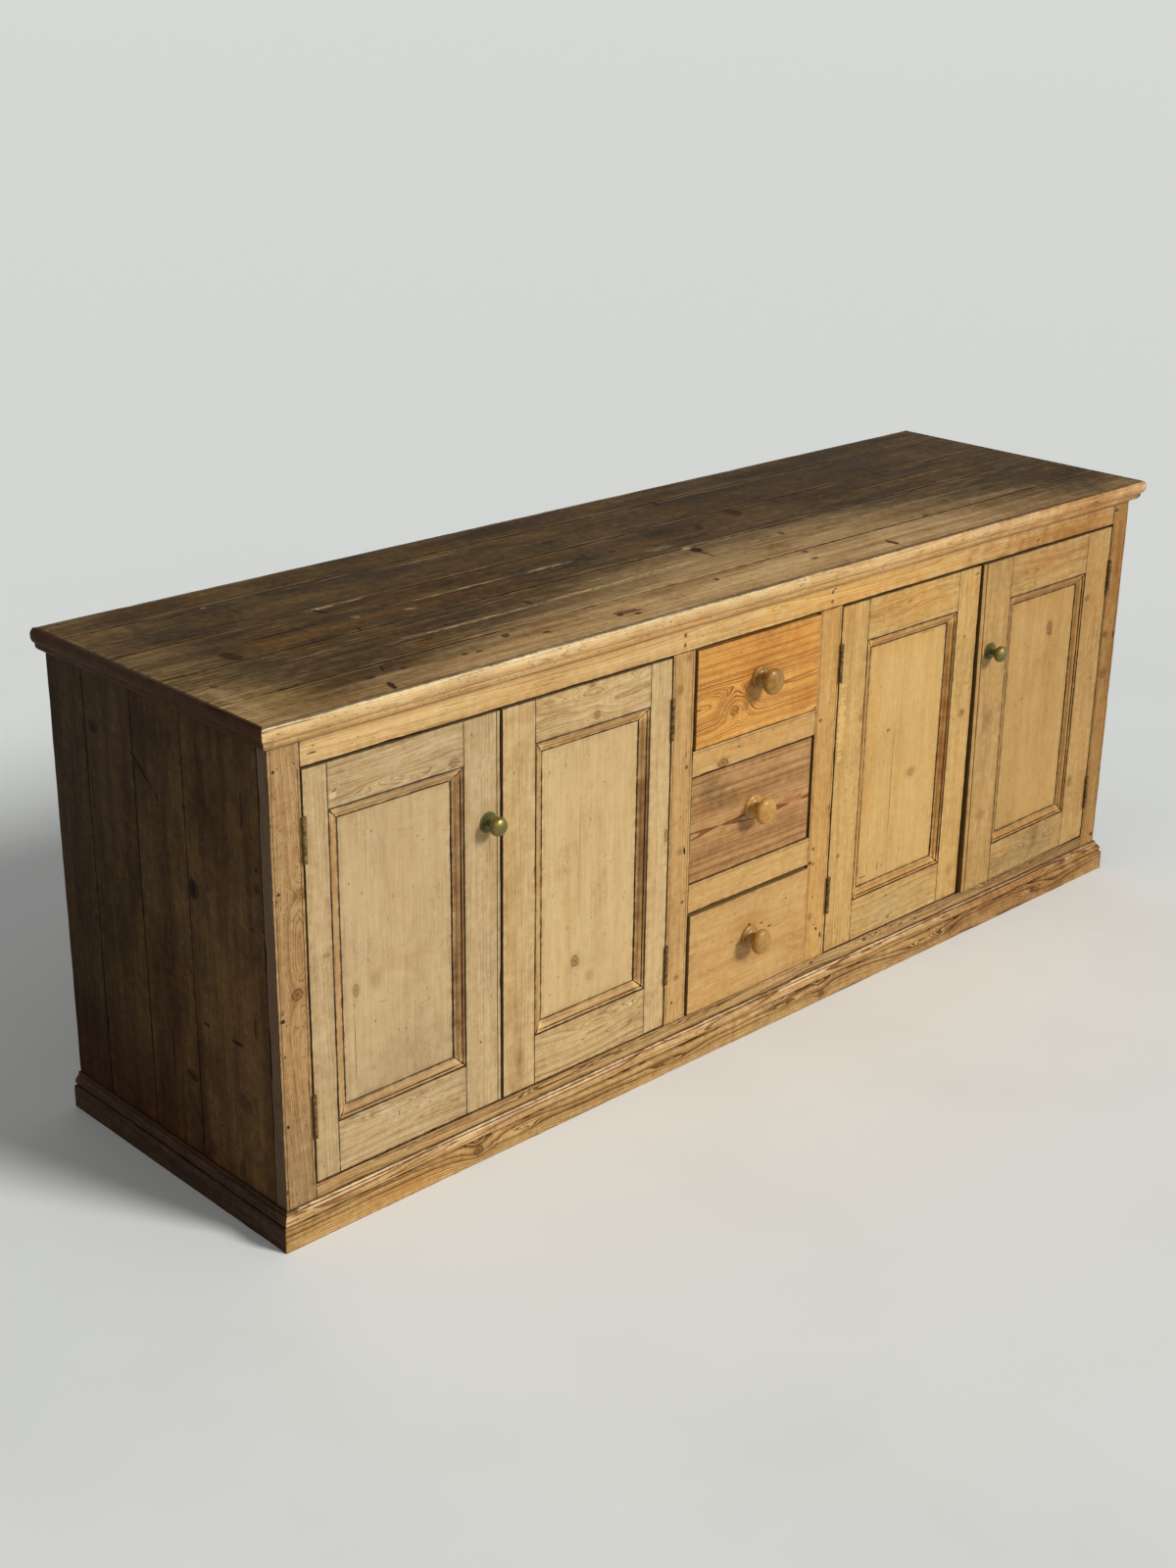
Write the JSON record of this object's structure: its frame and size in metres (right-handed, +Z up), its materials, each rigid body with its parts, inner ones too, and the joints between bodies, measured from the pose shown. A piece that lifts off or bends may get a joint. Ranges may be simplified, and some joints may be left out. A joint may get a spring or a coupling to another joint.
{
  "type": "sideboard",
  "caption": "Long, low country sideboard: framed and panelled doors in pairs, a bank of drawers with turned knobs between them, moulded top edge and plinth.",
  "frame": {"origin": "centre of the footprint, on the floor", "axes": "+X along the length, to the right of someone facing the doors; +Y from the front to the back; +Z up"},
  "size_m": [2.296, 0.672, 0.9],
  "materials": {
    "top_wood": "old waxed pine, dark and worn paler at the front",
    "edge_wood": "waxed pine with rubbed edges",
    "frame_wood": "waxed pine, honey coloured",
    "side_wood": "waxed pine, darkened",
    "base_wood": "waxed pine, orange brown with bold grain",
    "inside_wood": "bare pine",
    "door_wood": "pale scrubbed pine under thin wax",
    "drawer_wood": "waxed pine",
    "knob_wood": "turned pine, waxed",
    "brass": "aged, dull",
    "iron": "dark, rubbed"
  },
  "bodies": {
    "carcass": {"back_boards": "inside_wood", "base_moulding": "base_wood", "battens": "inside_wood", "bolt_keeps": "iron", "bottom_rail": "frame_wood", "corner_stile_left": "frame_wood", "corner_stile_right": "frame_wood", "drawer_rails": "frame_wood", "drawer_runners": "inside_wood", "floor_boards": "inside_wood", "frame_pegs": "frame_wood", "hinge_frame_leaves": "iron", "hinge_pins": "iron", "muntin_left": "frame_wood", "muntin_right": "frame_wood", "partition_boards": "inside_wood", "plinth_boards": "base_wood", "shelves": "inside_wood", "side_boards_left": "side_wood", "side_boards_right": "side_wood", "top_boards": "top_wood", "top_nosing": "edge_wood", "top_rail": "frame_wood"},
    "door_1": {"door_1_stiles": "door_wood", "door_1_rails": "door_wood", "door_1_panel": "door_wood", "door_1_moulding": "door_wood", "door_1_hinge_leaves": "iron", "door_1_latch_rose": "brass"},
    "door_2": {"door_2_stiles": "door_wood", "door_2_rails": "door_wood", "door_2_panel": "door_wood", "door_2_moulding": "door_wood", "door_2_hinge_leaves": "iron", "door_2_bolt_plate": "iron"},
    "door_3": {"door_3_stiles": "door_wood", "door_3_rails": "door_wood", "door_3_panel": "door_wood", "door_3_moulding": "door_wood", "door_3_hinge_leaves": "iron", "door_3_bolt_plate": "iron"},
    "door_4": {"door_4_stiles": "door_wood", "door_4_rails": "door_wood", "door_4_panel": "door_wood", "door_4_moulding": "door_wood", "door_4_hinge_leaves": "iron", "door_4_latch_rose": "brass"},
    "drawer_1": {"drawer_1_front": "drawer_wood", "drawer_1_box": "inside_wood", "drawer_1_knob": "knob_wood"},
    "drawer_2": {"drawer_2_front": "drawer_wood", "drawer_2_box": "inside_wood", "drawer_2_knob": "knob_wood"},
    "drawer_3": {"drawer_3_front": "drawer_wood", "drawer_3_box": "inside_wood", "drawer_3_knob": "knob_wood"},
    "latch_1": {"door_1_latch_knob": "brass"},
    "latch_4": {"door_4_latch_knob": "brass"},
    "bolt_2": {"door_2_bolt": "iron"},
    "bolt_3": {"door_3_bolt": "iron"}
  },
  "joints": [
    {"name": "door_1_hinge", "type": "hinge", "parent": "carcass", "child": "door_1", "pos_m": [-1.064, -0.2918, 0.45], "axis": [0, 0, -1], "range_deg": [0, 110]},
    {"name": "door_2_hinge", "type": "hinge", "parent": "carcass", "child": "door_2", "pos_m": [-0.267, -0.2918, 0.45], "axis": [0, 0, 1], "range_deg": [0, 95]},
    {"name": "door_3_hinge", "type": "hinge", "parent": "carcass", "child": "door_3", "pos_m": [0.186, -0.2918, 0.45], "axis": [0, 0, -1], "range_deg": [0, 95]},
    {"name": "door_4_hinge", "type": "hinge", "parent": "carcass", "child": "door_4", "pos_m": [1.07, -0.2918, 0.45], "axis": [0, 0, 1], "range_deg": [-0.7, 109]},
    {"name": "drawer_1_slide", "type": "slide", "parent": "carcass", "child": "drawer_1", "axis": [0, -1, 0], "range_m": [0, 0.42]},
    {"name": "drawer_2_slide", "type": "slide", "parent": "carcass", "child": "drawer_2", "axis": [0, -1, 0], "range_m": [0, 0.42]},
    {"name": "drawer_3_slide", "type": "slide", "parent": "carcass", "child": "drawer_3", "axis": [0, -1, 0], "range_m": [0, 0.42]},
    {"name": "latch_1_turn", "type": "hinge", "parent": "door_1", "child": "latch_1", "pos_m": [-0.694, -0.288, 0.622], "axis": [0, -1, 0], "range_deg": [0, 90]},
    {"name": "latch_4_turn", "type": "hinge", "parent": "door_4", "child": "latch_4", "pos_m": [0.65698, -0.29305, 0.622], "axis": [-0.0122, 0.9999, 0], "range_deg": [0, 90]},
    {"name": "bolt_2_slide", "type": "slide", "parent": "door_2", "child": "bolt_2", "axis": [0, 0, 1], "range_m": [0, 0.014]},
    {"name": "bolt_3_slide", "type": "slide", "parent": "door_3", "child": "bolt_3", "axis": [0, 0, 1], "range_m": [0, 0.014]}
  ]
}
